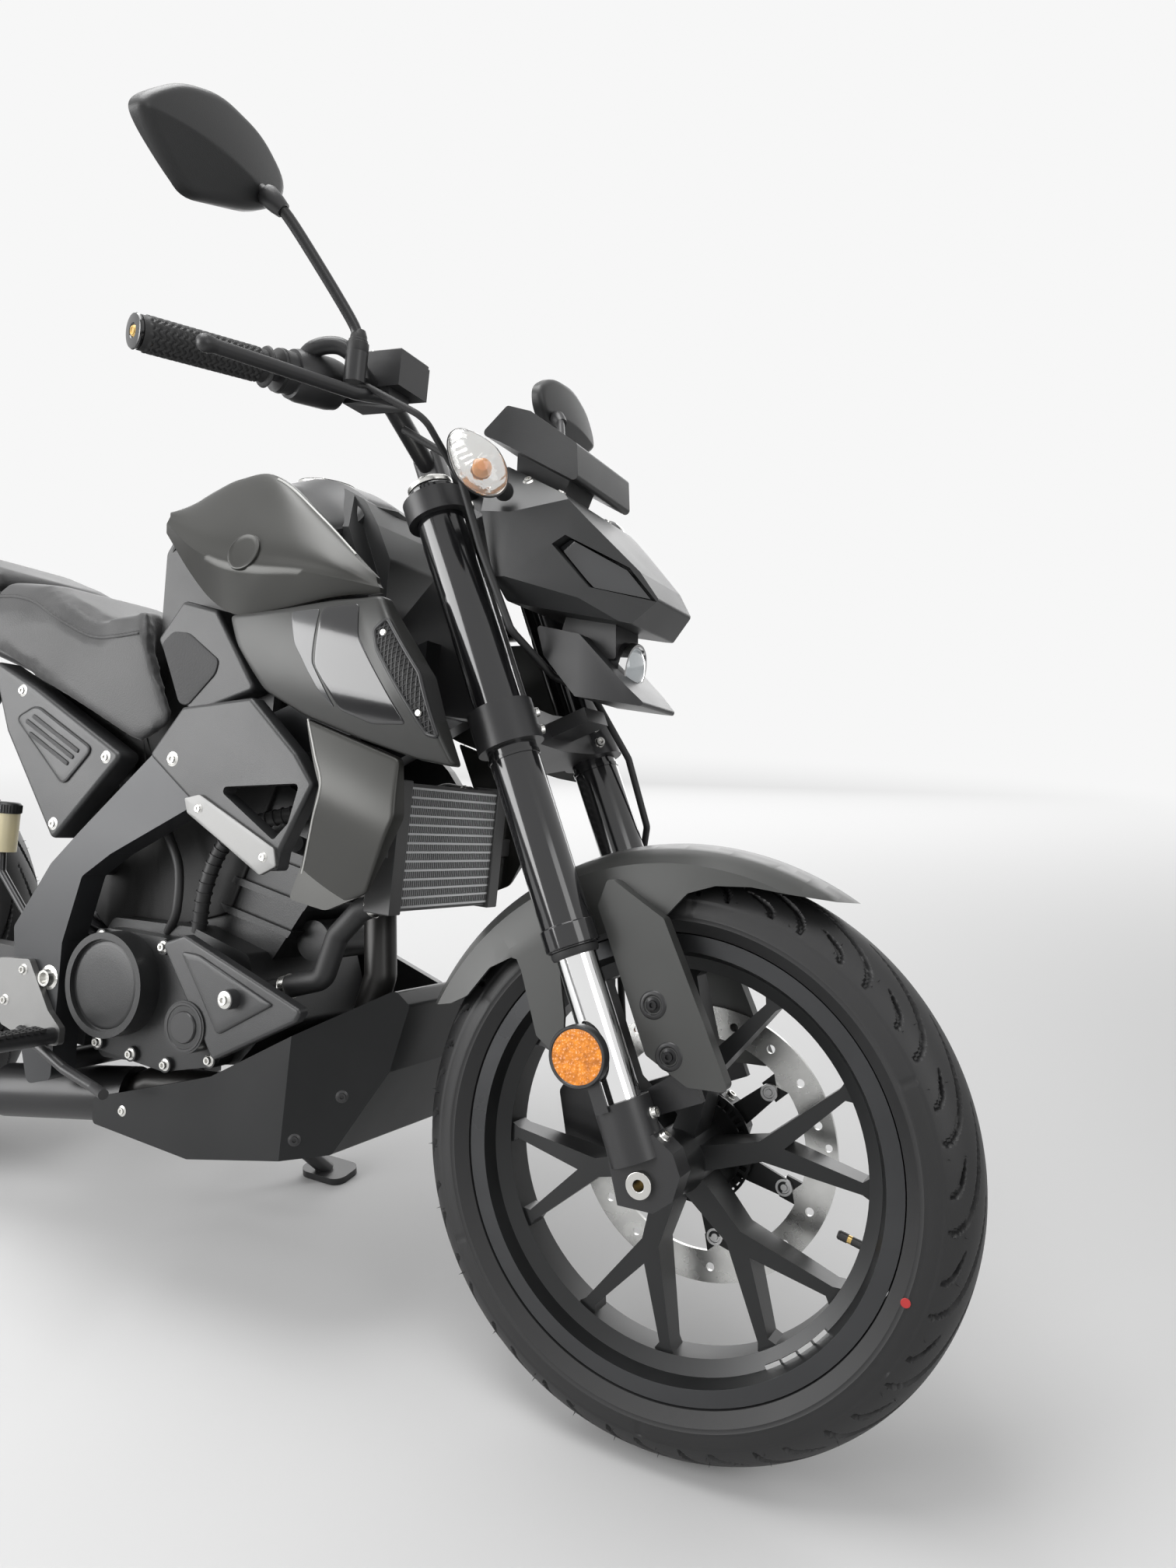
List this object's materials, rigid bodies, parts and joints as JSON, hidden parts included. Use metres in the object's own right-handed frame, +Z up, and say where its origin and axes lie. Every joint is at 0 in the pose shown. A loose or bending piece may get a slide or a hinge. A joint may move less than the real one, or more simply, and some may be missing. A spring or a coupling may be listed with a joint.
{
  "type": "standard motorcycle",
  "caption": "Standard motorcycle in satin grey and black, leaning on its side stand, with steering, turning wheels and a folding stand",
  "frame": {"origin": "centre of the footprint of the overall box, on the floor", "axes": "+X forward along the motorcycle, +Y to the rider's left, +Z up from the floor; the motorcycle leans to its left on its stand"},
  "size_m": [1.9594, 0.8736, 1.3066],
  "materials": {
    "black_plastic": "grained black moulding",
    "rubber": "black rubber",
    "steel": "ground steel",
    "cast_black": "black painted casting",
    "black_paint": "satin black paint",
    "cast_silver": "bare cast aluminium",
    "chrome": "hard chrome",
    "lamp_amber": "amber reflector",
    "gloss_black": "gloss black enamel",
    "satin_grey_paint": "satin dark grey paint",
    "lamp_clear": "clear lamp lens",
    "tyre": "road tyre rubber",
    "gloss_plastic": "gloss black moulding",
    "vinyl": "matte seat covering",
    "lamp_red": "red tail lens"
  },
  "bodies": {
    "chassis": {"air_scoops": "black_plastic", "belly_pan": "black_plastic", "coolant_hoses": "rubber", "drive_chain": "steel", "engine": "cast_black", "engine_covers": "cast_black", "engine_guards": "black_plastic", "exhaust_pipe": "black_paint", "footrests": "cast_silver", "frame_covers": "black_plastic", "frame_cross_tubes": "black_paint", "frame_spars": "satin_grey_paint", "fuel_tank": "gloss_plastic", "knee_panels": "black_plastic", "muffler": "black_paint", "pillion_pegs": "black_paint", "pillion_seat": "vinyl", "radiator": "cast_silver", "radiator_shrouds": "satin_grey_paint", "rear_axle": "steel", "rear_brake": "cast_black", "rear_lamps": "lamp_red", "rear_mudguard": "black_plastic", "rear_shock": "steel", "seat": "vinyl", "side_covers": "black_plastic", "stand_bracket": "black_paint", "steering_head": "black_paint", "subframe": "black_paint", "swingarm": "black_paint", "tail_cowl": "black_plastic", "tank_covers": "satin_grey_paint"},
    "steering": {"yokes": "cast_black", "fork_tubes": "gloss_black", "fork_legs": "chrome", "fork_lugs": "cast_black", "front_axle": "steel", "front_fender": "satin_grey_paint", "fork_reflectors": "lamp_amber", "front_caliper": "cast_black", "handlebar": "black_paint", "grips": "rubber", "controls": "black_plastic", "mirrors": "black_plastic", "headlamp_cowl": "satin_grey_paint", "headlamps": "lamp_clear", "instrument": "gloss_plastic", "front_indicators": "lamp_clear", "cables": "rubber"},
    "front_wheel_body": {"front_wheel": "black_paint", "front_tyre": "tyre", "front_disc": "steel"},
    "rear_wheel_body": {"rear_wheel": "black_paint", "rear_tyre": "tyre", "rear_disc": "steel", "rear_sprocket": "steel"},
    "side_stand_body": {"side_stand": "black_paint"}
  },
  "joints": [
    {"name": "steering", "type": "hinge", "parent": "chassis", "child": "steering", "pos_m": [0.43025, -0.10076, 0.70045], "axis": [-0.4384, 0.1869, 0.8792], "range_deg": [-35, 35]},
    {"name": "front_wheel_spin", "type": "hinge", "parent": "steering", "child": "front_wheel_body", "pos_m": [0.68375, -0.18778, 0.29106], "axis": [0, 0.9781, -0.2079], "continuous": true},
    {"name": "rear_wheel_spin", "type": "hinge", "parent": "chassis", "child": "rear_wheel_body", "pos_m": [-0.64125, -0.18404, 0.30867], "axis": [0, 0.9781, -0.2079], "continuous": true},
    {"name": "side_stand_fold", "type": "hinge", "parent": "chassis", "child": "side_stand_body", "pos_m": [-0.07675, -0.0894, 0.18632], "axis": [-0.0769, 0.9754, 0.2067], "range_deg": [0, 100]}
  ]
}
